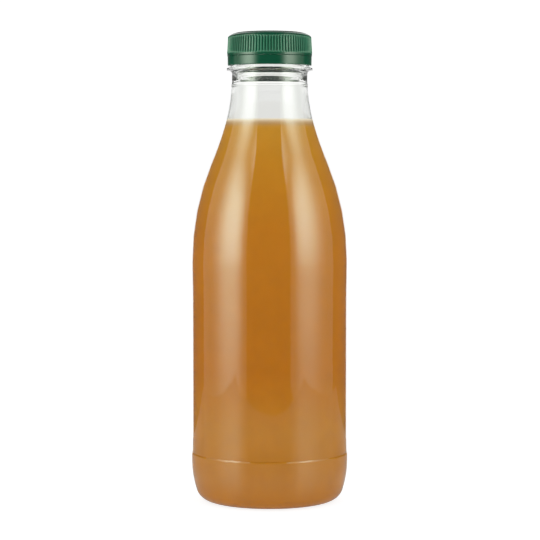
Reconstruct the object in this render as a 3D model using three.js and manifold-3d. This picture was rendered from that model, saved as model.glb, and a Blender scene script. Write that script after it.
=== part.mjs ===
// A clear plastic juice bottle, filled up to its neck and shut with a ribbed green screw cap.
// Millimetres, +Z up. The origin is the middle of the base, on the surface the bottle stands on.
// Every piece is round about the Z axis, so each is drawn as a half section of points
// (radius, height) and turned.

import * as THREE from 'three';
import { mergeVertices } from 'three/addons/utils/BufferGeometryUtils.js';
import Module from 'manifold-3d';

const BOTTLE_SIDES = 40;
const CAP_SIDES = 90;
const CLEARANCE = 0.3; // between pieces that touch on the real bottle

// Base: a dome pushed up inside a flat standing ring, with the moulding pip in its middle
const RING_INNER_RADIUS = 25.6;
const DOME_RISE = 7.5;
const PIP_RADIUS = 2.2;
const PIP_HEIGHT = 0.5;

// Heel: a tight corner that runs into a long soft curve, up to the bumper's upright wall
const BUMPER_RADIUS = 37.75;
const BUMPER_TOP = 22.9;
const HEEL_CORNER = 7.54;
const HEEL_CURVE = 45.8;
const HEEL_ANGLE = THREE.MathUtils.degToRad(18);

// Label panel: set back from the bumper by a small ledge, and easing out to the shoulder's crest
const LEDGE_TOP = 23.5;
const PANEL_FOOT_RADIUS = 37.4;
const PANEL_RADIUS = 37.28;
const PANEL_FLARE_TOP = 32;
const PANEL_TOP = 94.5;
const CREST_RADIUS = 37.5;
const CREST_HEIGHT = 116.2;

// Shoulder and neck: one long bulge, then two hollow curves that turn upright again.
// Each angle is the wall's lean from the upright where one curve hands over to the next.
const SHOULDER_BULGE = 120.4;
const SHOULDER_HOLLOW = 202.2;
const NECK_HOLLOW = 91.9;
const BULGE_END_LEAN = 0.397;
const HOLLOW_END_LEAN = 0.323;
const NECK_LEAN = 0.08;

const WALL = 0.5;

// Neck finish: the thick injected neck, its support ring, and the plain tube that the cap covers
const NECK_STEP_RADIUS = 18.57;
const NECK_STEP_LOW = 199.5;
const NECK_STEP_HIGH = 200.4;
const NECK_RADIUS = 18.25;
const NECK_LOW = 201;
const BORE_RADIUS = 16.9;
const BORE_LOW = 204.1;
const SUPPORT_RING_RADIUS = 20.75;
const SUPPORT_RING_LOW = 207;
const SUPPORT_RING_HIGH = 208.3;
const SUPPORT_RING_EDGE = 0.35;
const RING_ROOT_BLEND = 1.2; // the ring's underside runs down into the neck in this radius
const FINISH_FOOT_RADIUS = 18.6;
const FINISH_FOOT_TOP = 209.4;
const FINISH_RADIUS = 18.3;
const LIP_TOP = 223.1;
const LIP_ROUND = 0.35;

const JUICE_LEVEL = 182.6;

// Closure: tamper band below, a narrow slit with breakable posts, and the ribbed cap above
const BAND_LOW = 209.2;
const BAND_TOP = 213.7;
const BAND_LOW_RADIUS = 20.28;
const BAND_TOP_RADIUS = 20.35;
const BAND_ROUND = 0.4;
const CLOSURE_BORE_RADIUS = 19;
const POSTS = 10;
const POST_WIDTH = 0.9;
const POST_DEPTH = 0.8;
const POST_INSET = 0.6; // from the band's outer face in to the post's middle
const POST_HEIGHT = 0.2;
const CAP_LOW = 214.2;
const CAP_TOP = 225.3;
const CAP_RIM_RADIUS = 20.5;
const CAP_RIM_CHAMFER = 0.2;
const CAP_CROWN_RADIUS = 20.08;
const CAP_CROWN_HEIGHT = 222.9;
const CAP_CROWN_INSET = 5.55; // the crown's rounded edge reaches this far in over the top
const CAP_CROWN_FLATNESS = 1.24; // 1 would make that edge a quarter of an ellipse, 2 a straight line
const CAP_PLATE = 1.5;
const CAP_INNER_CHAMFER = 1;

// Grip: fine upright grooves that leave a rib between each two
const GROOVE_LOW = 215;
const GROOVE_HIGH = 223.8; // where the rounded crown has already curved inside it
const GROOVE_DEPTH = 0.66;
const GROOVE_HALF_WIDTH = 0.5;
const GROOVE_OVERSHOOT = 0.3;

const PET = new THREE.MeshStandardMaterial({
  name: 'clear PET',
  color: 0xdfe6e1,
  roughness: 0.06,
  metalness: 0,
  transparent: true,
  opacity: 0.3,
});
const JUICE = new THREE.MeshStandardMaterial({
  name: 'cloudy apple juice',
  color: 0xb6761f,
  roughness: 0.35,
  metalness: 0,
});
const CAP_PLASTIC = new THREE.MeshStandardMaterial({
  name: 'green polyethylene',
  color: 0x1c6b47,
  roughness: 0.45,
  metalness: 0,
});

const wasm = await Module();
wasm.setup();

const at = (radius, height) => new THREE.Vector2(radius, height);

// Points on a circle of the half section; an angle of 0 points away from the bottle's axis
function arc(centre, radius, from, to, steps) {
  const points = [];
  for (let i = 0; i <= steps; i += 1) {
    const angle = THREE.MathUtils.lerp(from, to, i / steps);
    points.push(at(centre.x + radius * Math.cos(angle), centre.y + radius * Math.sin(angle)));
  }
  return points;
}

// The point at a distance from another, in the direction of an angle
function along(start, distance, angle) {
  return at(start.x + distance * Math.cos(angle), start.y + distance * Math.sin(angle));
}

// The dome of the base, seen at a depth inside the outer skin, from a radius out to the ring
function dome(depth, fromRadius) {
  const outer = (RING_INNER_RADIUS ** 2 + DOME_RISE ** 2) / (2 * DOME_RISE);
  const centre = at(0, DOME_RISE - outer);
  const radius = outer + depth;
  const from = Math.acos(fromRadius / radius);
  const to = Math.asin((depth - centre.y) / radius);
  return arc(centre, radius, from, to, 3);
}

// The heel and the upright bumper wall, at a depth inside the outer skin
function heel(depth) {
  const curveCentre = at(
    BUMPER_RADIUS - HEEL_CURVE,
    HEEL_CORNER + (HEEL_CURVE - HEEL_CORNER) * Math.sin(HEEL_ANGLE),
  );
  const cornerCentre = along(curveCentre, HEEL_CURVE - HEEL_CORNER, -HEEL_ANGLE);
  return [
    ...arc(cornerCentre, HEEL_CORNER - depth, -Math.PI / 2, -HEEL_ANGLE, 5),
    ...arc(curveCentre, HEEL_CURVE - depth, -HEEL_ANGLE, 0, 3).slice(1),
    at(BUMPER_RADIUS - depth, BUMPER_TOP),
  ];
}

// The ledge and the label panel, up to just under the crest
function panel(depth) {
  const points = [
    at(PANEL_FOOT_RADIUS - depth, LEDGE_TOP),
    at(PANEL_RADIUS - depth, PANEL_FLARE_TOP),
  ];
  const steps = 3;
  for (let i = 0; i < steps; i += 1) {
    const ease = 0.5 - 0.5 * Math.cos((Math.PI * i) / steps);
    points.push(at(
      THREE.MathUtils.lerp(PANEL_RADIUS, CREST_RADIUS, ease) - depth,
      THREE.MathUtils.lerp(PANEL_TOP, CREST_HEIGHT, i / steps),
    ));
  }
  return points;
}

// The shoulder's bulge and the two hollow curves, from the crest up to the neck
function shoulder(depth) {
  const bulgeCentre = at(CREST_RADIUS - SHOULDER_BULGE, CREST_HEIGHT);
  const hollowCentre = along(bulgeCentre, SHOULDER_BULGE + SHOULDER_HOLLOW, BULGE_END_LEAN);
  const neckCentre = along(hollowCentre, NECK_HOLLOW - SHOULDER_HOLLOW, HOLLOW_END_LEAN);
  const facing = (lean) => lean + Math.PI; // a hollow curve's centre lies outside the bottle
  return [
    ...arc(bulgeCentre, SHOULDER_BULGE - depth, 0, BULGE_END_LEAN, 6),
    ...arc(
      hollowCentre,
      SHOULDER_HOLLOW + depth,
      facing(BULGE_END_LEAN),
      facing(HOLLOW_END_LEAN),
      2,
    ).slice(1),
    ...arc(
      neckCentre,
      NECK_HOLLOW + depth,
      facing(HOLLOW_END_LEAN),
      facing(NECK_LEAN),
      4,
    ).slice(1),
  ];
}

// The part of a rising section that lies below a height
function upTo(section, height) {
  const above = section.findIndex((point) => point.y > height);
  const low = section[above - 1];
  const high = section[above];
  const share = (height - low.y) / (high.y - low.y);
  return [...section.slice(0, above), low.clone().lerp(high, share)];
}

// Turns a half section about the Z axis
function turned(section, sides) {
  return new THREE.LatheGeometry(section, sides).rotateX(Math.PI / 2);
}

// A closed mesh as a solid that can be cut and joined
function solid(geometry) {
  const bare = geometry.clone();
  bare.deleteAttribute('normal');
  bare.deleteAttribute('uv');
  const merged = mergeVertices(bare);
  return new wasm.Manifold(new wasm.Mesh({
    numProp: 3,
    vertProperties: merged.attributes.position.array,
    triVerts: new Uint32Array(merged.index.array),
  }));
}

function geometryOf(body) {
  const mesh = body.getMesh();
  const geometry = new THREE.BufferGeometry();
  geometry.setAttribute('position', new THREE.BufferAttribute(mesh.vertProperties, 3));
  geometry.setIndex(new THREE.BufferAttribute(mesh.triVerts, 1));
  geometry.computeVertexNormals();
  return geometry;
}

// Bottle: outer skin from the pip up to the lip, then the inner skin back down to the base
function bottle() {
  const rootBlend = arc(
    at(NECK_RADIUS + RING_ROOT_BLEND, SUPPORT_RING_LOW - RING_ROOT_BLEND),
    RING_ROOT_BLEND,
    Math.PI,
    Math.PI / 2,
    2,
  );
  const outerNeck = [
    at(NECK_STEP_RADIUS, NECK_STEP_LOW),
    at(NECK_STEP_RADIUS, NECK_STEP_HIGH),
    at(NECK_RADIUS, NECK_LOW),
    ...rootBlend,
    at(SUPPORT_RING_RADIUS - SUPPORT_RING_EDGE, SUPPORT_RING_LOW),
    at(SUPPORT_RING_RADIUS, SUPPORT_RING_LOW + SUPPORT_RING_EDGE),
    at(SUPPORT_RING_RADIUS, SUPPORT_RING_HIGH - SUPPORT_RING_EDGE),
    at(SUPPORT_RING_RADIUS - SUPPORT_RING_EDGE, SUPPORT_RING_HIGH),
    at(FINISH_FOOT_RADIUS, SUPPORT_RING_HIGH),
    at(FINISH_RADIUS, FINISH_FOOT_TOP),
    at(FINISH_RADIUS, LIP_TOP - LIP_ROUND),
    at(FINISH_RADIUS - LIP_ROUND, LIP_TOP),
  ];
  const innerNeck = [
    at(BORE_RADIUS + LIP_ROUND, LIP_TOP),
    at(BORE_RADIUS, LIP_TOP - LIP_ROUND),
    at(BORE_RADIUS, BORE_LOW),
    at(NECK_RADIUS - WALL, NECK_LOW),
  ];
  const pip = [at(0, DOME_RISE - PIP_HEIGHT), at(PIP_RADIUS, DOME_RISE - PIP_HEIGHT)];
  const outer = [...pip, ...dome(0, PIP_RADIUS), ...heel(0), ...panel(0), ...shoulder(0)];
  const inner = [...dome(WALL, 0), ...heel(WALL), ...panel(WALL), ...shoulder(WALL)];
  return turned([...outer, ...outerNeck, ...innerNeck, ...inner.reverse()], BOTTLE_SIDES);
}

// Juice: fills the bottle up to a flat level, just clear of its wall
function juice() {
  const depth = WALL + CLEARANCE;
  const filled = [...dome(depth, 0), ...heel(depth), ...panel(depth), ...shoulder(depth)];
  return turned([...upTo(filled, JUICE_LEVEL), at(0, JUICE_LEVEL)], BOTTLE_SIDES);
}

// Tamper band: a ring with a round lower edge, and the stubs of the posts on its upper face
function tamperBand() {
  const height = BAND_TOP - BAND_LOW;
  const edge = arc(
    at(BAND_LOW_RADIUS - BAND_ROUND, BAND_ROUND),
    BAND_ROUND,
    -Math.PI / 2,
    0,
    3,
  );
  const outline = [
    at(CLOSURE_BORE_RADIUS, 0),
    ...edge,
    at(BAND_TOP_RADIUS, height),
    at(CLOSURE_BORE_RADIUS, height),
    at(CLOSURE_BORE_RADIUS, 0),
  ];
  const post = new THREE.BoxGeometry(POST_DEPTH, POST_WIDTH, 2 * POST_HEIGHT);
  post.translate(BAND_TOP_RADIUS - POST_INSET, 0, height);
  let band = solid(turned(outline, BOTTLE_SIDES));
  for (let i = 0; i < POSTS; i += 1) {
    band = band.add(solid(post.clone().rotateZ(((i + 0.5) * 2 * Math.PI) / POSTS)));
  }
  return geometryOf(band);
}

// One groove of the grip: a three-sided bar that leans in with the cap's wall
function groove() {
  const section = new THREE.Shape([
    at(-GROOVE_DEPTH, 0),
    at(GROOVE_OVERSHOOT, -GROOVE_HALF_WIDTH),
    at(GROOVE_OVERSHOOT, GROOVE_HALF_WIDTH),
  ]);
  const lean = Math.atan2(
    CAP_RIM_RADIUS - CAP_CROWN_RADIUS,
    CAP_CROWN_HEIGHT - GROOVE_LOW,
  );
  return new THREE.ExtrudeGeometry(section, {
    depth: GROOVE_HIGH - GROOVE_LOW,
    steps: 1,
    bevelEnabled: false,
  })
    .rotateY(-lean)
    .translate(CAP_RIM_RADIUS, 0, GROOVE_LOW - CAP_LOW);
}

// Cap: a cup turned upside down over the neck, with the grooves cut into its wall
function cap() {
  const height = CAP_TOP - CAP_LOW;
  const under = height - CAP_PLATE;
  const crownHeight = CAP_TOP - CAP_CROWN_HEIGHT;
  const crown = arc(at(0, 0), 1, 0, Math.PI / 2, 3).map((point) => at(
    CAP_CROWN_RADIUS - CAP_CROWN_INSET * (1 - point.x ** CAP_CROWN_FLATNESS),
    height - crownHeight * (1 - point.y ** CAP_CROWN_FLATNESS),
  ));
  const outline = [
    at(0, under),
    at(CLOSURE_BORE_RADIUS - CAP_INNER_CHAMFER, under),
    at(CLOSURE_BORE_RADIUS, under - CAP_INNER_CHAMFER),
    at(CLOSURE_BORE_RADIUS, 0),
    at(CAP_RIM_RADIUS - CAP_RIM_CHAMFER, 0),
    at(CAP_RIM_RADIUS, CAP_RIM_CHAMFER),
    at(CAP_RIM_RADIUS, GROOVE_LOW - CAP_LOW),
    ...crown,
    at(0, height),
  ];
  const bar = groove();
  let body = solid(turned(outline, CAP_SIDES).rotateZ(Math.PI / CAP_SIDES));
  for (let i = 0; i < CAP_SIDES; i += 1) {
    body = body.subtract(solid(bar.clone().rotateZ((i * 2 * Math.PI) / CAP_SIDES)));
  }
  return geometryOf(body);
}

function piece(name, geometry, material, height) {
  const mesh = new THREE.Mesh(geometry, material);
  mesh.name = name;
  mesh.position.z = height;
  return mesh;
}

const group = new THREE.Group();
group.add(
  piece('bottle', bottle(), PET, 0),
  piece('juice', juice(), JUICE, 0),
  piece('tamper_band', tamperBand(), CAP_PLASTIC, BAND_LOW),
  piece('cap', cap(), CAP_PLASTIC, CAP_LOW),
);

export default group;
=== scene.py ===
# A clear plastic juice bottle, filled up to its neck and shut with a ribbed green screw cap.
# Metres, +Z up. The origin is the middle of the base, on the surface that the bottle stands on.

from math import acos, asin, atan2, ceil, cos, pi, radians, sin, tan

import bpy
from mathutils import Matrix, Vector


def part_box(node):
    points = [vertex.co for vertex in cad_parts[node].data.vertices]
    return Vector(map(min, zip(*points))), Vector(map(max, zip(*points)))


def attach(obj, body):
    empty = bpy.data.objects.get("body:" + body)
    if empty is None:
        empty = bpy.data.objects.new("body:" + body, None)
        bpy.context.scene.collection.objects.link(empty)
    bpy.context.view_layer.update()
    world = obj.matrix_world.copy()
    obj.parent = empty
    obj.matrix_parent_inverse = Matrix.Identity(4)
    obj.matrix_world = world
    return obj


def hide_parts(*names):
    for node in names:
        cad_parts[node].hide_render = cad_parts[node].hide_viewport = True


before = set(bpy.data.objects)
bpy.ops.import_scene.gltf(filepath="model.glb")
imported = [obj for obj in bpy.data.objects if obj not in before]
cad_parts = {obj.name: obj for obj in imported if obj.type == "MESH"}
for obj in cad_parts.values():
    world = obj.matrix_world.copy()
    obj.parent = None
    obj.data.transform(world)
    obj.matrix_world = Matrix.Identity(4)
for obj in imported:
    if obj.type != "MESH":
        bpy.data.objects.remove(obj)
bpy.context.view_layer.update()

# Bottle
# One blow-moulded PET shell. The body is stretched from a thick injected preform, so its wall is
# half a millimetre, while the neck with its support ring keeps the preform's full thickness.

MM = 0.001
bottle_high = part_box("bottle")[1]
BUMPER_RADIUS = bottle_high.x
LIP_TOP = bottle_high.z
WALL = 0.5 * MM

RING_INNER_RADIUS = 25.6 * MM
DOME_RISE = 7.5 * MM
PIP_RADIUS = 2.2 * MM
PIP_HEIGHT = 0.5 * MM
PIP_ROUND = 0.2 * MM
HEEL_CORNER = 7.54 * MM
HEEL_CURVE = 45.8 * MM
HEEL_ANGLE = radians(18)
BUMPER_TOP = 22.9 * MM
LEDGE_TOP = 23.5 * MM
LEDGE_ROUND = 0.3 * MM
PANEL_FOOT_RADIUS = 37.4 * MM
PANEL_RADIUS = 37.28 * MM
PANEL_FLARE_TOP = 32 * MM
PANEL_FLARE_ROUND = 200 * MM
PANEL_TOP = 94.5 * MM
CREST_RADIUS = 37.5 * MM
CREST_HEIGHT = 116.2 * MM

SHOULDER_BULGE = 120.4 * MM
SHOULDER_HOLLOW = 202.2 * MM
NECK_HOLLOW = 91.9 * MM
BULGE_END_LEAN = 0.397
HOLLOW_END_LEAN = 0.323
NECK_LEAN = 0.08

NECK_STEP_RADIUS = 18.57 * MM
NECK_STEP_LOW = 199.5 * MM
NECK_STEP_HIGH = 200.4 * MM
NECK_STEP_FOOT = 0.4 * MM
NECK_STEP_SWELL = 0.1 * MM
NECK_RADIUS = 18.25 * MM
NECK_LOW = 201 * MM
NECK_ROUND = 0.3 * MM
SUPPORT_RING_RADIUS = 20.75 * MM
SUPPORT_RING_LOW = 207 * MM
SUPPORT_RING_HIGH = 208.3 * MM
RING_UNDERSIDE_FALL = 0.15 * MM
RING_ROOT_BLEND = 1.7 * MM
FINISH_FOOT_RADIUS = 18.6 * MM
FINISH_FOOT_TOP = 209.4 * MM
FINISH_FOOT_ROUND = 0.1 * MM
FINISH_RADIUS = 18.3 * MM
FINISH_BLEND = 1 * MM
LIP_ROUND = 0.35 * MM
BORE_RADIUS = 16.9 * MM
BORE_LOW = 204.1 * MM
BORE_BLEND = 8 * MM
BORE_FLARE = 0.55 * MM
BORE_FLARE_HEIGHT = 1.1 * MM
BORE_FLARE_ROUND = 1 * MM
THIN_WALL_NARROWING = 0.15 * MM

BOTTLE_STEPS = 192
FINEST_TURN = radians(6)
WELD_DISTANCE = 0.002 * MM
SHARPEST_SMOOTH_EDGE = radians(35)

PET_COLOUR = "#f4f5f3"
PET_IOR = 1.575
PET_SMOOTHEST = 0.02
PET_ROUGHEST = 0.05
STREAK_WIDTH = 6 * MM
STREAK_SQUEEZE = 0.06
STREAK_RELIEF = 0.03 * MM
RIPPLE_WIDTH = 14 * MM
RIPPLE_RELIEF = 0.06 * MM
RELIEF_STRENGTH = 0.5
HAZE_TOP = 205.6 * MM
NECK_CLEARNESS = 0.975


def along(start, distance, angle):
    """The point at a distance from another, in the direction of an angle."""
    return start + distance * Vector((cos(angle), sin(angle)))


def arc(centre, radius, start, end):
    """Points of a half outline on a circle; an angle of 0 points away from the bottle's axis."""
    steps = max(4, ceil(abs(end - start) / FINEST_TURN))
    return [along(centre, radius, start + (end - start) * i / steps) for i in range(steps + 1)]


def rounded(corners):
    """Points of a half outline through (radius, height, rounding) corners."""
    points = [Vector(corners[0][:2])]
    for before, corner, after in zip(corners, corners[1:], corners[2:]):
        spot = Vector(corner[:2])
        back = (Vector(before[:2]) - spot).normalized()
        ahead = (Vector(after[:2]) - spot).normalized()
        half = back.angle(ahead) / 2
        reach = corner[2] / tan(half)
        centre = spot + (back + ahead).normalized() * corner[2] / sin(half)
        first = spot + back * reach - centre
        last = spot + ahead * reach - centre
        turn = first.angle_signed(last)
        heading = atan2(first.y, first.x)
        points += arc(centre, corner[2], heading, heading - turn)
    points.append(Vector(corners[-1][:2]))
    return points


def base_skin(depth, dome_start):
    """The base, from a radius on its dome out to the bumper wall, at a depth inside the outer skin."""
    sphere = (RING_INNER_RADIUS ** 2 + DOME_RISE ** 2) / (2 * DOME_RISE)
    dome_centre = Vector((0, DOME_RISE - sphere))
    curve_centre = Vector((
        BUMPER_RADIUS - HEEL_CURVE,
        HEEL_CORNER + (HEEL_CURVE - HEEL_CORNER) * sin(HEEL_ANGLE),
    ))
    corner_centre = along(curve_centre, HEEL_CURVE - HEEL_CORNER, -HEEL_ANGLE)
    ring_edge = asin((depth - dome_centre.y) / (sphere + depth))
    return [
        *arc(dome_centre, sphere + depth, acos(dome_start / (sphere + depth)), ring_edge),
        *arc(corner_centre, HEEL_CORNER - depth, -pi / 2, -HEEL_ANGLE),
        *arc(curve_centre, HEEL_CURVE - depth, -HEEL_ANGLE, 0)[1:],
    ]


def panel_skin(depth):
    """The ledge and the label panel, from the bumper wall up to just under the crest."""
    points = rounded([
        (BUMPER_RADIUS - depth, BUMPER_TOP - 2 * LEDGE_ROUND, 0),
        (BUMPER_RADIUS - depth, BUMPER_TOP, LEDGE_ROUND),
        (PANEL_FOOT_RADIUS - depth, LEDGE_TOP, LEDGE_ROUND),
        (PANEL_RADIUS - depth, PANEL_FLARE_TOP, PANEL_FLARE_ROUND),
        (PANEL_RADIUS - depth, PANEL_TOP, 0),
    ])
    steps = 12
    for i in range(1, steps):
        share = i / steps
        ease = 0.5 - 0.5 * cos(pi * share)
        points.append(Vector((
            PANEL_RADIUS + (CREST_RADIUS - PANEL_RADIUS) * ease - depth,
            PANEL_TOP + (CREST_HEIGHT - PANEL_TOP) * share,
        )))
    return points


def shoulder_skin(depth):
    """The shoulder's bulge and its two hollow curves, from the crest up to the neck."""
    bulge_centre = Vector((CREST_RADIUS - SHOULDER_BULGE, CREST_HEIGHT))
    hollow_centre = along(bulge_centre, SHOULDER_BULGE + SHOULDER_HOLLOW, BULGE_END_LEAN)
    neck_centre = along(hollow_centre, NECK_HOLLOW - SHOULDER_HOLLOW, HOLLOW_END_LEAN)
    bulge = arc(bulge_centre, SHOULDER_BULGE - depth, 0, BULGE_END_LEAN)
    hollow = arc(hollow_centre, SHOULDER_HOLLOW + depth, pi + BULGE_END_LEAN, pi + HOLLOW_END_LEAN)
    neck = arc(neck_centre, NECK_HOLLOW + depth, pi + HOLLOW_END_LEAN, pi + NECK_LEAN)
    return [*bulge, *hollow[1:], *neck[1:]]


def body_skin(depth, dome_start=0):
    """The whole body's half outline, from a radius on the base's dome up to the neck."""
    return [*base_skin(depth, dome_start), *panel_skin(depth), *shoulder_skin(depth)]


def gate_pip():
    """The flat pip under the middle of the dome, where the preform was injected."""
    return rounded([
        (0, DOME_RISE - PIP_HEIGHT, 0),
        (PIP_RADIUS, DOME_RISE - PIP_HEIGHT, PIP_ROUND),
        (PIP_RADIUS, DOME_RISE, 0),
    ])[:-1]


def neck_finish():
    """The thick neck: its step, the support ring with its underside run down into the neck, the
    plain tube under the cap, and the bore, which widens towards the thin wall below."""
    foot = NECK_STEP_LOW - NECK_STEP_FOOT
    thin_radius = NECK_STEP_RADIUS - WALL
    return rounded([
        (NECK_STEP_RADIUS - NECK_STEP_SWELL, foot, 0),
        (NECK_STEP_RADIUS, NECK_STEP_LOW, NECK_ROUND),
        (NECK_STEP_RADIUS, NECK_STEP_HIGH, NECK_ROUND),
        (NECK_RADIUS, NECK_LOW, NECK_ROUND),
        (NECK_RADIUS, SUPPORT_RING_LOW - RING_UNDERSIDE_FALL, RING_ROOT_BLEND),
        (SUPPORT_RING_RADIUS, SUPPORT_RING_LOW, NECK_ROUND),
        (SUPPORT_RING_RADIUS, SUPPORT_RING_HIGH, NECK_ROUND),
        (FINISH_FOOT_RADIUS, SUPPORT_RING_HIGH, FINISH_FOOT_ROUND),
        (FINISH_RADIUS, FINISH_FOOT_TOP, FINISH_BLEND),
        (FINISH_RADIUS, LIP_TOP, LIP_ROUND),
        (BORE_RADIUS, LIP_TOP, LIP_ROUND),
        (BORE_RADIUS, BORE_LOW, BORE_BLEND),
        (BORE_RADIUS + BORE_FLARE, NECK_LOW + BORE_FLARE_HEIGHT, BORE_FLARE_ROUND),
        (thin_radius - THIN_WALL_NARROWING, NECK_LOW, NECK_ROUND),
        (thin_radius, foot, 0),
    ])


def finished(piece):
    """Closes a turned piece's seam and poles, points its faces outwards and smooths its curves."""
    bpy.ops.object.mode_set(mode="EDIT")
    bpy.ops.mesh.select_all(action="SELECT")
    bpy.ops.mesh.remove_doubles(threshold=WELD_DISTANCE)
    bpy.ops.mesh.normals_make_consistent(inside=False)
    bpy.ops.object.mode_set(mode="OBJECT")
    bpy.ops.object.transform_apply(location=True, rotation=True, scale=True)
    bpy.ops.object.shade_smooth_by_angle(angle=SHARPEST_SMOOTH_EDGE)
    return piece


def turned(name, outline, steps, angle=2 * pi):
    """A piece drawn as a half outline, point by point from one vertex, and spun about the Z axis."""
    bpy.ops.object.select_all(action="DESELECT")
    start = outline[0]
    bpy.ops.mesh.primitive_plane_add(size=MM, location=(start.x, 0, start.y))
    made = bpy.context.object
    made.name = name
    made.data.name = name
    bpy.ops.object.mode_set(mode="EDIT")
    bpy.ops.mesh.select_mode(type="VERT")
    bpy.ops.mesh.merge(type="CENTER")
    for here, there in zip(outline, outline[1:]):
        step = there - here
        bpy.ops.mesh.extrude_region_move(TRANSFORM_OT_translate={"value": (step.x, 0, step.y)})
    bpy.ops.mesh.select_all(action="SELECT")
    bpy.ops.mesh.spin(steps=steps, angle=angle, center=(0, 0, 0), axis=(0, 0, 1))
    bpy.ops.object.mode_set(mode="OBJECT")
    return finished(made)


def linear(hex_colour):
    """An sRGB hex colour, as linear red, green, blue and alpha."""
    channels = [int(hex_colour[i:i + 2], 16) / 255 for i in (1, 3, 5)]
    return (*[c / 12.92 if c <= 0.04045 else ((c + 0.055) / 1.055) ** 2.4 for c in channels], 1)


def add_node(tree, kind, inputs=None, **settings):
    """Adds a node. An input that is another node's output is linked, and any other is set."""
    made = tree.nodes.new(kind)
    for name, value in settings.items():
        setattr(made, name, value)
    for name, value in (inputs or {}).items():
        if isinstance(value, bpy.types.NodeSocket):
            tree.links.new(value, made.inputs[name])
        else:
            made.inputs[name].default_value = value
    return made


def new_material(name):
    """An empty material, and its node tree."""
    made = bpy.data.materials.new(name)
    made.use_nodes = True
    made.node_tree.nodes.clear()
    return made, made.node_tree


def clear_pet(name, clearness):
    """Polyethylene terephthalate shaped against a polished mould: clear, with a trace of grey. The
    stretching leaves faint upright flow streaks that make a mirrored lamp waver, and where it isn't
    stretched it is a little cloudy. Light passes straight through it, so it casts no dark shadow."""
    made, tree = new_material(name)
    place = add_node(tree, "ShaderNodeTexCoord").outputs["Object"]
    upright = add_node(
        tree, "ShaderNodeMapping",
        {"Vector": place, "Scale": (1, 1, STREAK_SQUEEZE)}).outputs["Vector"]
    streaks = add_node(
        tree, "ShaderNodeTexNoise", {"Vector": upright, "Scale": 1 / STREAK_WIDTH, "Detail": 2})
    ripple = add_node(
        tree, "ShaderNodeTexNoise", {"Vector": place, "Scale": 1 / RIPPLE_WIDTH, "Detail": 1})
    streak_relief = add_node(
        tree, "ShaderNodeBump",
        {"Height": streaks.outputs["Fac"], "Strength": RELIEF_STRENGTH,
         "Distance": STREAK_RELIEF})
    relief = add_node(
        tree, "ShaderNodeBump",
        {"Height": ripple.outputs["Fac"], "Strength": RELIEF_STRENGTH,
         "Distance": RIPPLE_RELIEF, "Normal": streak_relief.outputs["Normal"]})
    haze = add_node(
        tree, "ShaderNodeMapRange",
        {"Value": streaks.outputs["Fac"], "To Min": PET_SMOOTHEST, "To Max": PET_ROUGHEST})
    plastic = add_node(
        tree, "ShaderNodeBsdfPrincipled",
        {"Base Color": linear(PET_COLOUR), "Roughness": haze.outputs["Result"], "IOR": PET_IOR,
         "Transmission Weight": clearness, "Normal": relief.outputs["Normal"]})
    light_let_through = add_node(
        tree, "ShaderNodeBsdfTransparent", {"Color": linear(PET_COLOUR)})
    rays = add_node(tree, "ShaderNodeLightPath")
    surface = add_node(tree, "ShaderNodeMixShader", {
        0: rays.outputs["Is Shadow Ray"],
        1: plastic.outputs["BSDF"],
        2: light_let_through.outputs["BSDF"],
    })
    add_node(tree, "ShaderNodeOutputMaterial", {"Surface": surface.outputs["Shader"]})
    return made


outer = [*gate_pip(), *body_skin(0, PIP_RADIUS)]
inner = body_skin(WALL)
shell = turned("bottle_shell", [*outer, *neck_finish(), *reversed(inner)], BOTTLE_STEPS)
shell.data.materials.append(clear_pet("clear_blow_moulded_PET", 1))
shell.data.materials.append(clear_pet("slightly_hazy_unstretched_PET", NECK_CLEARNESS))
bpy.ops.object.mode_set(mode="EDIT")
bpy.ops.mesh.select_mode(type="FACE")
bpy.ops.mesh.select_all(action="DESELECT")
bpy.ops.object.mode_set(mode="OBJECT")
for face in shell.data.polygons:
    face.select = NECK_LOW < face.center.z < HAZE_TOP
shell.active_material_index = 1
bpy.ops.object.mode_set(mode="EDIT")
bpy.ops.object.material_slot_assign()
bpy.ops.object.mode_set(mode="OBJECT")
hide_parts("bottle")
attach(shell, "root")

# Juice
# Cloudy apple juice, a liquid that is opaque with fine pulp. It is poured in up to the neck, wets
# the wall all round, and climbs it a little at the level. It reaches just into the wall's thickness,
# so that no gap shows behind the plastic.

JUICE_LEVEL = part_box("juice")[1].z
JUICE_DEPTH = WALL / 2
MENISCUS_RISE = 1.2 * MM
MENISCUS_REACH = 2.5 * MM
MENISCUS_CURVE = 3
FILM_LOW = JUICE_LEVEL - 5.5 * MM
FILM_ONSET = 4
# The wet film: pale thin juice, with the lit backdrop seen through it painted in as near white.
WET_FILM_BACKDROP_COLOUR = "#fff6e6"
# A painted shade line just under the level, where the meniscus shades the juice.
SHADE_LINE_HEIGHT = JUICE_LEVEL - 1.1 * MM
SHADE_LINE_SPREAD = 2 * MM
SHADE_LINE_TINT = "#ecf0ff"
PULP_CLOUD = 9 * MM
PULP_DARKEST = 0.965
PULP_LIGHTEST = 1.035
JUICE_SMOOTHEST = 0.15
JUICE_ROUGHEST = 0.3

# The index between the juice and the wall that it touches: 1.575 of PET over 1.35 of juice.
JUICE_IOR = 1.17


def radius_at(outline, height):
    """How wide a rising outline is at a height."""
    for low, high in zip(outline, outline[1:]):
        if low.y <= height <= high.y and high.y > low.y:
            return low.lerp(high, (height - low.y) / (high.y - low.y)).x
    raise ValueError(f"the outline doesn't reach {height}")


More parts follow.
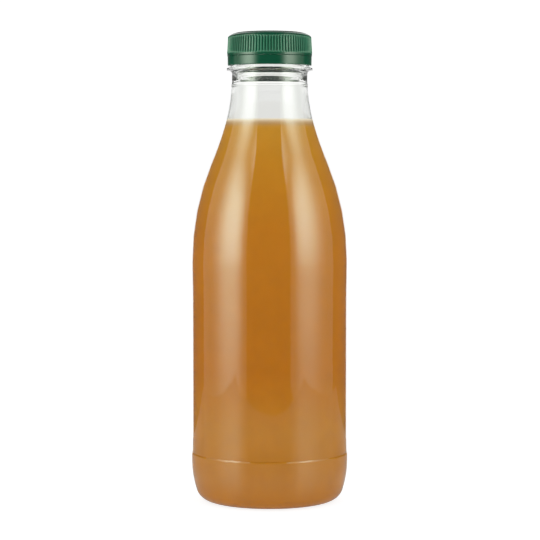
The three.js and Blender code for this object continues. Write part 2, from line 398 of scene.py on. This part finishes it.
def filled_outline():
    """From the middle of the base up the wall to the meniscus, and in over the level."""
    rim_height = JUICE_LEVEL + MENISCUS_RISE
    wetted = [point for point in body_skin(JUICE_DEPTH) if point.y < rim_height]
    rim = Vector((radius_at(shoulder_skin(JUICE_DEPTH), rim_height), rim_height))
    inside = radius_at(shoulder_skin(WALL), rim_height)
    steps = 10
    curve = []
    for i in range(steps + 1):
        share = i / steps
        curve.append(Vector((
            inside - MENISCUS_REACH * share,
            JUICE_LEVEL + MENISCUS_RISE * (1 - share) ** MENISCUS_CURVE,
        )))
    return [*wetted, rim, *curve, Vector((0, JUICE_LEVEL))]


def cloudy_apple_juice():
    """Unfiltered apple juice: dense amber that lets no light through, painted paler towards the
    level as painted light from above. The pulp shows as a faint mottling. At the level the juice
    thins out to a film on the wall, pale as thin juice is and painted near white for the lit
    backdrop seen through it, under a painted shade line."""
    made, tree = new_material("cloudy_apple_juice")
    place = add_node(tree, "ShaderNodeTexCoord").outputs["Object"]
    height = add_node(tree, "ShaderNodeSeparateXYZ", {"Vector": place}).outputs["Z"]
    # Painted light: the juice is painted paler up towards the level, as light from above falls there.
    share = add_node(
        tree, "ShaderNodeMapRange", {"Value": height, "From Min": 0, "From Max": JUICE_LEVEL})
    painted_light_by_height = add_node(tree, "ShaderNodeValToRGB", {"Fac": share.outputs["Result"]})
    ramp = painted_light_by_height.color_ramp
    ramp.elements[0].color = linear("#c47f17")
    ramp.elements[1].color = linear("#d09c34")
    for share_up, amber in (
            (0.07, "#c2821a"), (0.2, "#c58824"), (0.35, "#c27c16"), (0.5, "#c27d16"),
            (0.72, "#c7841e"), (0.9, "#cd9226")):
        ramp.elements.new(share_up).color = linear(amber)
    pulp = add_node(
        tree, "ShaderNodeTexNoise",
        {"Vector": place, "Scale": 1 / PULP_CLOUD, "Detail": 6, "Roughness": 0.65})
    pulp_shade = add_node(
        tree, "ShaderNodeMapRange",
        {"Value": pulp.outputs["Fac"], "From Min": 0.3, "From Max": 0.7,
         "To Min": PULP_DARKEST, "To Max": PULP_LIGHTEST})
    colour = add_node(
        tree, "ShaderNodeVectorMath",
        {0: painted_light_by_height.outputs["Color"], 1: pulp_shade.outputs["Result"]},
        operation="MULTIPLY")
    climb = add_node(
        tree, "ShaderNodeMapRange",
        {"Value": height, "From Min": FILM_LOW, "From Max": JUICE_LEVEL + MENISCUS_RISE})
    thinness = add_node(
        tree, "ShaderNodeMath", {0: climb.outputs["Result"], 1: FILM_ONSET}, operation="POWER")
    # The film over the level is painted near white for the backdrop light seen through thin juice.
    wetted = add_node(
        tree, "ShaderNodeMix",
        {"Factor": thinness.outputs["Value"], "A": colour.outputs["Vector"],
         "B": linear(WET_FILM_BACKDROP_COLOUR)}, data_type="RGBA")
    # Painted shade: a soft darker band is multiplied in just under the level.
    off_line = add_node(
        tree, "ShaderNodeMath", {0: height, 1: SHADE_LINE_HEIGHT}, operation="SUBTRACT")
    from_line = add_node(
        tree, "ShaderNodeMath", {0: off_line.outputs["Value"]}, operation="ABSOLUTE")
    painted_shade_line = add_node(
        tree, "ShaderNodeMapRange",
        {"Value": from_line.outputs["Value"], "From Min": 0, "From Max": SHADE_LINE_SPREAD,
         "To Min": 1, "To Max": 0}, interpolation_type="SMOOTHSTEP")
    shade_lined = add_node(
        tree, "ShaderNodeMix",
        {"Factor": painted_shade_line.outputs["Result"], "A": wetted.outputs["Result"],
         "B": linear(SHADE_LINE_TINT)}, data_type="RGBA", blend_type="MULTIPLY")
    gloss = add_node(
        tree, "ShaderNodeMapRange",
        {"Value": pulp.outputs["Fac"], "To Min": JUICE_SMOOTHEST, "To Max": JUICE_ROUGHEST})
    liquid = add_node(
        tree, "ShaderNodeBsdfPrincipled",
        {"Base Color": shade_lined.outputs["Result"], "Roughness": gloss.outputs["Result"],
         "IOR": JUICE_IOR})
    add_node(tree, "ShaderNodeOutputMaterial", {"Surface": liquid.outputs["BSDF"]})
    return made


juice = turned("juice_fill", filled_outline(), BOTTLE_STEPS)
juice.data.materials.append(cloudy_apple_juice())
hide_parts("juice")
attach(juice, "root")

# Tamper band
# The ring that stays on the neck when the bottle is first opened. It is moulded in one shot with
# the cap, in green polyethylene, and hangs from it by ten thin bridges across the slit.

BAND_RADIUS = 20.35 * MM
BAND_LOW_RADIUS = 20.28 * MM
BAND_LOW = 209.2 * MM
BAND_TOP = 213.7 * MM
BAND_MIDDLE = (BAND_LOW + BAND_TOP) / 2
SLIT = 0.1 * MM
BAND_ROUND = 0.4 * MM
BAND_TOP_ROUND = 0.2 * MM
CLOSURE_BORE = 19 * MM
CLOSURE_STEPS = 180
BRIDGES = 10
BRIDGE_SIZE = (0.8 * MM, 0.9 * MM)
BRIDGE_INSET = 0.6 * MM
BRIDGE_SINK = 0.1 * MM
BRIDGE_BEVEL = 0.12 * MM

# The cap's grip wall, which the plastic's painted shade and painted sheen follow.
CAP_RIM_RADIUS = 20.5 * MM
CAP_CROWN_RADIUS = 20.08 * MM
GROOVE_LOW = 215 * MM
CAP_CROWN_LOW = 222.9 * MM

GREEN_DARK = "#034d32"
GREEN_LIGHT = "#04563a"
TIP_SHEEN_COLOUR = "#8fa89b"
GREEN_PLASTIC_IOR = 1.49
SATIN_SMOOTHEST = 0.15
SATIN_ROUGHEST = 0.21
MOST_TIP_SHEEN = 0.05
GROOVE_SHADE = 0.47
TIP_SHADE = 1.1
TIP_DEPTH = 0.5 * MM
FLOW_WIDTH = 12 * MM
GRAIN_WIDTH = 0.2 * MM
GRAIN_RELIEF = 0.01 * MM
GRAIN_STRENGTH = 0.3
GRIP_BLUR = 0.3 * MM
GRIP_ROUGHNESS = 0.32
CROWN_ROUGHNESS = 0.75
CROWN_MATT_LOW = 224.2 * MM
CROWN_MATT_HIGH = 225 * MM


def green_moulded_polyethylene():
    """High-density polyethylene, injection-moulded in a fine-eroded steel mould: deep green and
    satin, with a soft sheen. The grain is a fifth of a millimetre, coarser than real, so it shows.
    The grip is duller, with painted shade in its grooves, painted light and a painted sheen on
    its rib tips, and the flat top of the crown is nearly matt."""
    made, tree = new_material("green_moulded_polyethylene")
    place = add_node(tree, "ShaderNodeTexCoord").outputs["Object"]
    flow = add_node(
        tree, "ShaderNodeTexNoise", {"Vector": place, "Scale": 1 / FLOW_WIDTH, "Detail": 3})
    green = add_node(tree, "ShaderNodeValToRGB", {"Fac": flow.outputs["Fac"]})
    green.color_ramp.elements[0].position = 0.3
    green.color_ramp.elements[0].color = linear(GREEN_DARK)
    green.color_ramp.elements[1].position = 0.7
    green.color_ramp.elements[1].color = linear(GREEN_LIGHT)
    grain = add_node(
        tree, "ShaderNodeTexNoise", {"Vector": place, "Scale": 1 / GRAIN_WIDTH, "Detail": 2})
    relief = add_node(
        tree, "ShaderNodeBump",
        {"Height": grain.outputs["Fac"], "Strength": GRAIN_STRENGTH, "Distance": GRAIN_RELIEF})
    sheen = add_node(
        tree, "ShaderNodeMapRange",
        {"Value": flow.outputs["Fac"], "From Min": 0.3, "From Max": 0.7,
         "To Min": SATIN_SMOOTHEST, "To Max": SATIN_ROUGHEST})
    height = add_node(tree, "ShaderNodeSeparateXYZ", {"Vector": place}).outputs["Z"]
    above = add_node(
        tree, "ShaderNodeMapRange",
        {"Value": height, "From Min": GROOVE_LOW - GRIP_BLUR, "From Max": GROOVE_LOW + GRIP_BLUR})
    grip = add_node(
        tree, "ShaderNodeMapRange",
        {"Value": height, "From Min": CAP_CROWN_LOW - GRIP_BLUR,
         "From Max": CAP_CROWN_LOW + GRIP_BLUR, "To Min": above.outputs["Result"], "To Max": 0})
    topped = add_node(
        tree, "ShaderNodeMapRange",
        {"Value": height, "From Min": CROWN_MATT_LOW, "From Max": CROWN_MATT_HIGH,
         "To Min": sheen.outputs["Result"], "To Max": CROWN_ROUGHNESS})
    roughness = add_node(
        tree, "ShaderNodeMapRange",
        {"Value": grip.outputs["Result"], "To Min": topped.outputs["Result"],
         "To Max": GRIP_ROUGHNESS})
    wall = add_node(
        tree, "ShaderNodeMapRange",
        {"Value": height, "From Min": GROOVE_LOW, "From Max": CAP_CROWN_LOW,
         "To Min": CAP_RIM_RADIUS, "To Max": CAP_CROWN_RADIUS})
    flat = add_node(
        tree, "ShaderNodeVectorMath", {0: place, 1: (1, 1, 0)}, operation="MULTIPLY")
    radius = add_node(
        tree, "ShaderNodeVectorMath", {0: flat.outputs["Vector"]}, operation="LENGTH")
    depth = add_node(
        tree, "ShaderNodeMath",
        {0: wall.outputs["Result"], 1: radius.outputs["Value"]}, operation="SUBTRACT")
    tip = add_node(
        tree, "ShaderNodeMapRange",
        {"Value": depth.outputs["Value"], "From Min": 0, "From Max": TIP_DEPTH,
         "To Min": grip.outputs["Result"], "To Max": 0})
    # Painted shade and light: grooves are painted darker and rib tips lighter, as light falls on them.
    shade = add_node(
        tree, "ShaderNodeMapRange",
        {"Value": tip.outputs["Result"], "To Min": GROOVE_SHADE, "To Max": TIP_SHADE})
    shaded = add_node(
        tree, "ShaderNodeVectorMath",
        {0: green.outputs["Color"], 1: shade.outputs["Result"]}, operation="MULTIPLY")
    # A painted sheen: the rib tips are painted paler, for the whitish gloss that they catch.
    tip_sheen = add_node(
        tree, "ShaderNodeMapRange",
        {"Value": tip.outputs["Result"], "To Min": 0, "To Max": MOST_TIP_SHEEN})
    colour = add_node(
        tree, "ShaderNodeMix",
        {"Factor": tip_sheen.outputs["Result"], "A": shaded.outputs["Vector"],
         "B": linear(TIP_SHEEN_COLOUR)}, data_type="RGBA")
    plastic = add_node(
        tree, "ShaderNodeBsdfPrincipled",
        {"Base Color": colour.outputs["Result"], "Roughness": roughness.outputs["Result"],
         "IOR": GREEN_PLASTIC_IOR, "Normal": relief.outputs["Normal"]})
    add_node(tree, "ShaderNodeOutputMaterial", {"Surface": plastic.outputs["BSDF"]})
    return made


green_plastic = green_moulded_polyethylene()
band = turned("tamper_ring", rounded([
    (CLOSURE_BORE, BAND_MIDDLE, 0),
    (CLOSURE_BORE, BAND_LOW, BAND_TOP_ROUND),
    (BAND_LOW_RADIUS, BAND_LOW, BAND_ROUND),
    (BAND_RADIUS, BAND_TOP, BAND_TOP_ROUND),
    (CLOSURE_BORE, BAND_TOP, BAND_TOP_ROUND),
    (CLOSURE_BORE, BAND_MIDDLE, 0),
]), CLOSURE_STEPS)

bpy.ops.object.select_all(action="DESELECT")
bridge_low = BAND_TOP - BRIDGE_SINK
bridge_high = BAND_TOP + SLIT + BRIDGE_SINK
bpy.ops.mesh.primitive_cube_add(
    size=1,
    location=(BAND_RADIUS - BRIDGE_INSET, 0, (bridge_low + bridge_high) / 2),
    scale=(*BRIDGE_SIZE, bridge_high - bridge_low),
)
bridges = bpy.context.object
bpy.ops.object.mode_set(mode="EDIT")
bpy.ops.mesh.select_all(action="SELECT")
bpy.ops.mesh.bevel(offset=BRIDGE_BEVEL, segments=2, affect="EDGES")
bpy.ops.mesh.select_all(action="SELECT")
bpy.ops.mesh.spin(
    steps=BRIDGES, angle=2 * pi, center=(0, 0, 0), axis=(0, 0, 1), dupli=True)
bpy.ops.mesh.select_all(action="SELECT")
bpy.ops.mesh.remove_doubles(threshold=WELD_DISTANCE)
bpy.ops.object.mode_set(mode="OBJECT")
bpy.ops.object.transform_apply(location=True, rotation=True, scale=True)
bpy.ops.object.select_all(action="DESELECT")
bridges.select_set(True)
band.select_set(True)
bpy.context.view_layer.objects.active = band
bpy.ops.object.join()
band.data.materials.clear()
band.data.materials.append(green_plastic)
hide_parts("tamper_band")
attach(band, "root")

# Cap
# A 38 mm screw cap, moulded in the same green polyethylene and screwed down over the neck. It has
# a plain rim, ninety upright grip ribs that lean in a little towards the top, and a smooth rounded
# crown with a flat plate inside it. One rib is modelled and then copied all the way round.

CAP_LOW = BAND_TOP + SLIT
CAP_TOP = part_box("cap")[1].z
CAP_CROWN_INSET = 5.55 * MM
CAP_CROWN_FLATNESS = 1.24
CAP_PLATE = 1.5 * MM
CAP_EDGE_ROUND = 0.2 * MM
CAP_INNER_CHAMFER = 1 * MM
CAP_GRIP_ROWS = 16
RIBS = 90
COLUMNS_PER_RIB = 8
GROOVE_HIGH = 223 * MM
GROOVE_DEPTH = 0.66 * MM
GROOVE_RUNOUT = 0.6 * MM
GROOVE_LEVELS = 20
BORE_MARGIN = 0.1 * MM
GATE_RADIUS = 1.1 * MM
GATE_FLOOR_RADIUS = 0.88 * MM
GATE_DEPTH = 0.15 * MM


def cap_outline():
    """The rim, the grip wall, the elliptical crown, the plate with its gate mark, and the inside."""
    seam = CAP_LOW + CAP_INNER_CHAMFER
    under = CAP_TOP - CAP_PLATE
    rim = rounded([
        (CLOSURE_BORE, seam, 0),
        (CLOSURE_BORE, CAP_LOW, CAP_EDGE_ROUND),
        (CAP_RIM_RADIUS, CAP_LOW, CAP_EDGE_ROUND),
        (CAP_RIM_RADIUS, GROOVE_LOW - GROOVE_RUNOUT / 2, 0),
    ])
    grip_low = Vector((CAP_RIM_RADIUS, GROOVE_LOW))
    grip_high = Vector((CAP_CROWN_RADIUS, CAP_CROWN_LOW))
    grip = [grip_low.lerp(grip_high, i / CAP_GRIP_ROWS) for i in range(CAP_GRIP_ROWS + 1)]
    crown = []
    for turn in arc(Vector((0, 0)), 1, 0, pi / 2)[1:]:
        crown.append(Vector((
            CAP_CROWN_RADIUS - CAP_CROWN_INSET * (1 - max(0, turn.x) ** CAP_CROWN_FLATNESS),
            CAP_TOP - (CAP_TOP - CAP_CROWN_LOW) * (1 - turn.y ** CAP_CROWN_FLATNESS),
        )))
    gate = [
        Vector((GATE_RADIUS, CAP_TOP)),
        Vector((GATE_FLOOR_RADIUS, CAP_TOP - GATE_DEPTH)),
        Vector((0, CAP_TOP - GATE_DEPTH)),
    ]
    inside = [
        Vector((0, under)),
        Vector((CLOSURE_BORE - CAP_INNER_CHAMFER, under)),
        Vector((CLOSURE_BORE, under - CAP_INNER_CHAMFER)),
        Vector((CLOSURE_BORE, seam)),
    ]
    return [*rim, *grip, *crown, *gate, *inside]


def press_groove(rib):
    """Presses half a groove into either side of one rib, rounded across and run out at its ends."""
    column_angle = 2 * pi / RIBS / COLUMNS_PER_RIB
    for level in range(1, GROOVE_LEVELS + 1):
        bpy.ops.object.mode_set(mode="EDIT")
        bpy.ops.mesh.select_all(action="DESELECT")
        bpy.ops.object.mode_set(mode="OBJECT")
        for vertex in rib.data.vertices:
            column = atan2(vertex.co.y, vertex.co.x) / column_angle
            across = (0.5 + 0.5 * cos(2 * pi * column / COLUMNS_PER_RIB)) ** 2
            low = (vertex.co.z - GROOVE_LOW) / GROOVE_RUNOUT
            high = (GROOVE_HIGH - vertex.co.z) / GROOVE_RUNOUT
            share = across * min(1, max(0, low)) * min(1, max(0, high))
            outside = vertex.co.xy.length > CLOSURE_BORE + BORE_MARGIN
            vertex.select = outside and round(share * GROOVE_LEVELS) == level
        bpy.ops.object.mode_set(mode="EDIT")
        shrink = 1 - GROOVE_DEPTH * level / GROOVE_LEVELS / CAP_RIM_RADIUS
        bpy.ops.transform.resize(value=(shrink, shrink, 1), center_override=(0, 0, 0))
        bpy.ops.object.mode_set(mode="OBJECT")


cap = turned("screw_cap", cap_outline(), COLUMNS_PER_RIB, 2 * pi / RIBS)
press_groove(cap)
bpy.ops.object.mode_set(mode="EDIT")
bpy.ops.mesh.select_all(action="SELECT")
bpy.ops.mesh.spin(steps=RIBS, angle=2 * pi, center=(0, 0, 0), axis=(0, 0, 1), dupli=True)
bpy.ops.object.mode_set(mode="OBJECT")
finished(cap)
cap.data.materials.append(green_plastic)
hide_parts("cap")
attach(cap, "root")

# Floor
# A plain white studio floor of lit paper that runs out of sight. It is as white as the backdrop,
# apart from the bottle's soft contact shadow. Gloss sees the table top under it instead.

FLOOR_SIZE = 8
FLOOR_DROP = 0.2 * MM
FLOOR_COLOUR = "#c4c4c4"
FLOOR_BRIGHTNESS = 0.95

floor_material, floor_tree = new_material("white_paper_floor")
paper = add_node(floor_tree, "ShaderNodeBsdfDiffuse", {"Color": linear(FLOOR_COLOUR)})
light_from_below = add_node(floor_tree, "ShaderNodeEmission", {"Strength": FLOOR_BRIGHTNESS})
lit_paper = add_node(
    floor_tree, "ShaderNodeAddShader",
    {0: paper.outputs["BSDF"], 1: light_from_below.outputs["Emission"]})
add_node(floor_tree, "ShaderNodeOutputMaterial", {"Surface": lit_paper.outputs["Shader"]})
bpy.ops.object.select_all(action="DESELECT")
bpy.ops.mesh.primitive_plane_add(size=FLOOR_SIZE, location=(0, 0, -FLOOR_DROP))
floor = bpy.context.object
floor.name = "studio_floor"
floor.data.materials.append(floor_material)
floor.visible_glossy = False

# Table top
# The white lacquered table that the bottle mirrors in its lower half. The bottle's shadow is painted
# # onto it, darker close to the bottle. Only gloss sees it, because its edges would otherwise cross
# # the floor.

TABLE_HALF_WIDTH = 0.48
TABLE_FRONT = 0.391
TABLE_BACK = 0.21
TABLE_BRIGHTNESS = 0.64
TABLE_SHADED_BRIGHTNESS = 0.38
TABLE_SHADE_RADIUS = 0.065
TABLE_COLOUR = "#fafffe"
TABLE_GLOSS_COLOUR = "#dddddd"
LACQUER_IOR = 1.45
LACQUER_ROUGHNESS = 0.15


def only_in_gloss(piece, through_clear):
    """Hides a piece from the camera and from lighting. Gloss shows it, and clear walls may too."""
    piece.visible_camera = False
    piece.visible_diffuse = False
    piece.visible_transmission = through_clear
    piece.visible_shadow = False


table_material, table_tree = new_material("lit_white_table")
table_place = add_node(table_tree, "ShaderNodeNewGeometry").outputs["Position"]
table_radius = add_node(
    table_tree, "ShaderNodeVectorMath", {0: table_place}, operation="LENGTH")
# The bottle's painted shadow: the table's glow is dimmer close to the bottle.
table_light_and_painted_shadow = add_node(
    table_tree, "ShaderNodeMapRange",
    {"Value": table_radius.outputs["Value"], "From Min": BUMPER_RADIUS,
     "From Max": TABLE_SHADE_RADIUS, "To Min": TABLE_SHADED_BRIGHTNESS,
     "To Max": TABLE_BRIGHTNESS})
table_glow = add_node(
    table_tree, "ShaderNodeEmission",
    {"Color": linear(TABLE_COLOUR), "Strength": table_light_and_painted_shadow.outputs["Result"]})
table_gloss = add_node(
    table_tree, "ShaderNodeBsdfGlossy",
    {"Color": linear(TABLE_GLOSS_COLOUR), "Roughness": LACQUER_ROUGHNESS})
table_fresnel = add_node(table_tree, "ShaderNodeFresnel", {"IOR": LACQUER_IOR})
lacquer = add_node(
    table_tree, "ShaderNodeMixShader",
    {0: table_fresnel.outputs["Fac"], 1: table_glow.outputs["Emission"],
     2: table_gloss.outputs["BSDF"]})
add_node(table_tree, "ShaderNodeOutputMaterial", {"Surface": lacquer.outputs["Shader"]})
bpy.ops.object.select_all(action="DESELECT")
bpy.ops.mesh.primitive_plane_add(
    size=1,
    location=(0, (TABLE_BACK - TABLE_FRONT) / 2, -2 * FLOOR_DROP),
)
table = bpy.context.object
table.name = "table_top"
bpy.ops.object.mode_set(mode="EDIT")
bpy.ops.mesh.select_all(action="SELECT")
bpy.ops.transform.resize(value=(2 * TABLE_HALF_WIDTH, TABLE_BACK + TABLE_FRONT, 1))
bpy.ops.object.mode_set(mode="OBJECT")
table.data.materials.append(table_material)
only_in_gloss(table, through_clear=False)

# Lights
# Two tall scrims stand left and right of the bottle, each lit from behind by one lamp, so each has
# a bright heart that fades outwards. Their tops are lit too, for the cap's shoulder to mirror. A
# white backdrop and a white room give the even light, and the film softens the highlights.

SCRIM_DISTANCE = 0.5
SCRIM_LOW = -0.05
SCRIM_HIGH = 1.3
SCRIM_FOOT_BRIGHTNESS = 0.57
SCRIM_EDGE_BRIGHTNESS = 1.02
SCRIM_EDGE_HEIGHT = 0.5
SCRIM_HEAD_LOW = 0.7
SCRIM_HEAD_BRIGHTNESS = 6
SCRIM_FLATNESS = 2.7
SCRIM_COLOUR = "#f4ffec"
BACKDROP_DISTANCE = 1.5
BACKDROP_HALF_WIDTH = 0.6
BACKDROP_LOW = -0.4
BACKDROP_HIGH = 2
BACKDROP_BRIGHTNESS = 1.12
OPEN_BACKDROP_BRIGHTNESS = 1.6
ROOM_BRIGHTNESS = 1.54
ROOM_SIDE_BRIGHTNESS = 0.92
UNLIT_ROOM_BRIGHTNESS = 0.03
SPILL_BRIGHTNESS = 0.14
WALL_GLOW_BRIGHTNESS = 0.55
ROOM_COLOUR = "#ffffff"

# The film turns light into tone by this curve, and light of FILM_WHITE into full white.
FILM_CURVE = ((0.1, 0.15), (0.2, 0.3), (0.3, 0.45), (0.533, 0.735), (0.773, 0.91))
FILM_WHITE = 1.5


def upright_sheet(name, place, size, turn, material):
    """A flat sheet that shows in gloss and through clear walls."""
    bpy.ops.object.select_all(action="DESELECT")
    bpy.ops.mesh.primitive_plane_add(size=1, location=place, rotation=turn)
    made = bpy.context.object
    made.name = name
    bpy.ops.object.mode_set(mode="EDIT")
    bpy.ops.mesh.select_all(action="SELECT")
    bpy.ops.transform.resize(value=size)
    bpy.ops.object.mode_set(mode="OBJECT")
    made.data.materials.append(material)
    only_in_gloss(made, through_clear=True)


def scrim(name, side, front, back, heart_place, heart_spread, heart_brightness):
    """A sheet of diffusing cloth beside the bottle. side is -1 for left and 1 for right. Rays that
    no gloss has mirrored pass through it, so it doesn't show through the clear neck."""
    made, tree = new_material(name + "_cloth")
    place = add_node(tree, "ShaderNodeNewGeometry").outputs["Position"]
    away = add_node(
        tree, "ShaderNodeVectorMath", {0: place, 1: (side * SCRIM_DISTANCE, *heart_place)},
        operation="SUBTRACT")
    spread = add_node(
        tree, "ShaderNodeVectorMath", {0: away.outputs["Vector"], 1: (1, *heart_spread)},
        operation="DIVIDE")
    far = add_node(
        tree, "ShaderNodeVectorMath", {0: spread.outputs["Vector"]}, operation="ABSOLUTE")
    off_heart = add_node(tree, "ShaderNodeSeparateXYZ", {"Vector": far.outputs["Vector"]})
    along_cloth = add_node(
        tree, "ShaderNodeMath", {0: off_heart.outputs["Y"], 1: SCRIM_FLATNESS},
        operation="POWER")
    up_cloth = add_node(
        tree, "ShaderNodeMath", {0: off_heart.outputs["Z"], 1: SCRIM_FLATNESS},
        operation="POWER")
    fall = add_node(
        tree, "ShaderNodeMath", {0: along_cloth.outputs["Value"], 1: up_cloth.outputs["Value"]},
        operation="ADD")
    fade = add_node(
        tree, "ShaderNodeMath", {0: fall.outputs["Value"], 1: -1}, operation="MULTIPLY")
    heart = add_node(tree, "ShaderNodeMath", {0: fade.outputs["Value"]}, operation="EXPONENT")
    height = add_node(tree, "ShaderNodeSeparateXYZ", {"Vector": place}).outputs["Z"]
    edge = add_node(
        tree, "ShaderNodeMapRange",
        {"Value": height, "From Min": 0, "From Max": SCRIM_EDGE_HEIGHT,
         "To Min": SCRIM_FOOT_BRIGHTNESS, "To Max": SCRIM_EDGE_BRIGHTNESS})
    head = add_node(
        tree, "ShaderNodeMapRange",
        {"Value": height, "From Min": SCRIM_HEAD_LOW, "From Max": SCRIM_HIGH,
         "To Min": edge.outputs["Result"], "To Max": SCRIM_HEAD_BRIGHTNESS})
    brightness = add_node(
        tree, "ShaderNodeMath",
        {0: heart.outputs["Value"], 1: heart_brightness, 2: head.outputs["Result"]},
        operation="MULTIPLY_ADD")
    glow = add_node(
        tree, "ShaderNodeEmission",
        {"Color": linear(SCRIM_COLOUR), "Strength": brightness.outputs["Value"]})
    rays = add_node(tree, "ShaderNodeLightPath")
    unmirrored = add_node(
        tree, "ShaderNodeMath", {0: rays.outputs["Glossy Depth"], 1: 0.5}, operation="LESS_THAN")
    unseen = add_node(tree, "ShaderNodeBsdfTransparent")
    cloth = add_node(tree, "ShaderNodeMixShader", {
        0: unmirrored.outputs["Value"],
        1: glow.outputs["Emission"],
        2: unseen.outputs["BSDF"],
    })
    add_node(tree, "ShaderNodeOutputMaterial", {"Surface": cloth.outputs["Shader"]})
    middle = (side * SCRIM_DISTANCE, (front + back) / 2, (SCRIM_LOW + SCRIM_HIGH) / 2)
    size = (1, back - front, SCRIM_HIGH - SCRIM_LOW)
    upright_sheet(name, middle, size, (0, pi / 2, 0), made)


scrim(
    "left_scrim", side=-1, front=-0.76, back=0.2,
    heart_place=(-0.33, 0.3), heart_spread=(0.235, 0.267), heart_brightness=7.15)
scrim(
    "right_scrim", side=1, front=-0.86, back=0.13,
    heart_place=(-0.37, 0.328), heart_spread=(0.245, 0.272), heart_brightness=6)

backdrop_paper, backdrop_tree = new_material("lit_white_backdrop")
backdrop_glow = add_node(
    backdrop_tree, "ShaderNodeEmission", {"Strength": BACKDROP_BRIGHTNESS})
add_node(backdrop_tree, "ShaderNodeOutputMaterial", {"Surface": backdrop_glow.outputs["Emission"]})
upright_sheet(
    "backdrop",
    (0, BACKDROP_DISTANCE, (BACKDROP_LOW + BACKDROP_HIGH) / 2),
    (2 * BACKDROP_HALF_WIDTH, 1, BACKDROP_HIGH - BACKDROP_LOW),
    (pi / 2, 0, 0),
    backdrop_paper,
)

world = bpy.data.worlds.new("white_studio")
world.use_nodes = True
studio = world.node_tree
studio.nodes.clear()
rays = add_node(studio, "ShaderNodeLightPath")
direction = add_node(studio, "ShaderNodeTexCoord").outputs["Generated"]
heading = add_node(studio, "ShaderNodeSeparateXYZ", {"Vector": direction})
sideways = heading.outputs["X"]
spill = add_node(
    studio, "ShaderNodeMapRange",
    {"Value": heading.outputs["Y"], "To Min": UNLIT_ROOM_BRIGHTNESS,
     "To Max": SPILL_BRIGHTNESS})
sidelong = add_node(
    studio, "ShaderNodeMath", {0: sideways, 1: sideways}, operation="MULTIPLY")
room_brightness = add_node(
    studio, "ShaderNodeMath",
    {0: sidelong.outputs["Value"], 1: ROOM_SIDE_BRIGHTNESS, 2: ROOM_BRIGHTNESS},
    operation="MULTIPLY_ADD")
room_light = add_node(
    studio, "ShaderNodeBackground",
    {"Color": linear(ROOM_COLOUR), "Strength": room_brightness.outputs["Value"]})
open_backdrop = add_node(
    studio, "ShaderNodeBackground",
    {"Color": linear(ROOM_COLOUR), "Strength": OPEN_BACKDROP_BRIGHTNESS})
backdrop_light = add_node(
    studio, "ShaderNodeBackground",
    {"Color": linear(ROOM_COLOUR), "Strength": BACKDROP_BRIGHTNESS})
unlit_room = add_node(
    studio, "ShaderNodeBackground",
    {"Color": linear(ROOM_COLOUR), "Strength": spill.outputs["Result"]})
wall_glow = add_node(
    studio, "ShaderNodeBackground",
    {"Color": linear(ROOM_COLOUR), "Strength": WALL_GLOW_BRIGHTNESS})
has_crossed_a_wall = add_node(
    studio, "ShaderNodeMath", {0: rays.outputs["Transmission Depth"], 1: 0.5},
    operation="GREATER_THAN")
has_been_mirrored = add_node(
    studio, "ShaderNodeMath", {0: rays.outputs["Glossy Depth"], 1: 0.5},
    operation="GREATER_THAN")
has_lit_a_surface = add_node(
    studio, "ShaderNodeMath", {0: rays.outputs["Diffuse Depth"], 1: 0.5},
    operation="GREATER_THAN")
mirrored_room = add_node(studio, "ShaderNodeMixShader", {
    0: has_crossed_a_wall.outputs["Value"],
    1: unlit_room.outputs["Background"],
    2: wall_glow.outputs["Background"],
})
seen_through = add_node(studio, "ShaderNodeMixShader", {
    0: has_been_mirrored.outputs["Value"],
    1: backdrop_light.outputs["Background"],
    2: mirrored_room.outputs["Shader"],
})
around = add_node(studio, "ShaderNodeMixShader", {
    0: has_lit_a_surface.outputs["Value"],
    1: seen_through.outputs["Shader"],
    2: room_light.outputs["Background"],
})
surroundings = add_node(studio, "ShaderNodeMixShader", {
    0: rays.outputs["Is Camera Ray"],
    1: around.outputs["Shader"],
    2: open_backdrop.outputs["Background"],
})
add_node(studio, "ShaderNodeOutputWorld", {"Surface": surroundings.outputs["Shader"]})
world.cycles.sampling_method = "NONE"
bpy.context.scene.world = world

film = bpy.context.scene.view_settings
film.view_transform = "Standard"
film.use_curve_mapping = True
film.curve_mapping.white_level = (FILM_WHITE, FILM_WHITE, FILM_WHITE)
for light, tone in FILM_CURVE:
    film.curve_mapping.curves[3].points.new(light, tone)
film.curve_mapping.update()

# Camera
# A long lens almost a metre away, a little below the juice's level, tilted down by three degrees.
# Its place, tilt and lens were worked out from the photo's ellipses.

CAMERA_DISTANCE = 0.9306
CAMERA_HEIGHT = 0.1611
CAMERA_SIDE_STEP = 0.17 * MM
CAMERA_TILT = radians(3.068)
FILM_WIDTH_MM = 36
FOCAL_LENGTH_MM = 128.73
NEAREST_VIEW = 0.01

lens = bpy.data.cameras.new("camera")
lens.sensor_width = FILM_WIDTH_MM
lens.lens = FOCAL_LENGTH_MM
lens.clip_start = NEAREST_VIEW
camera = bpy.data.objects.new("camera", lens)
camera.location = (CAMERA_SIDE_STEP, -CAMERA_DISTANCE, CAMERA_HEIGHT)
camera.rotation_euler = (pi / 2 - CAMERA_TILT, 0, 0)
bpy.context.scene.collection.objects.link(camera)
bpy.context.scene.camera = camera
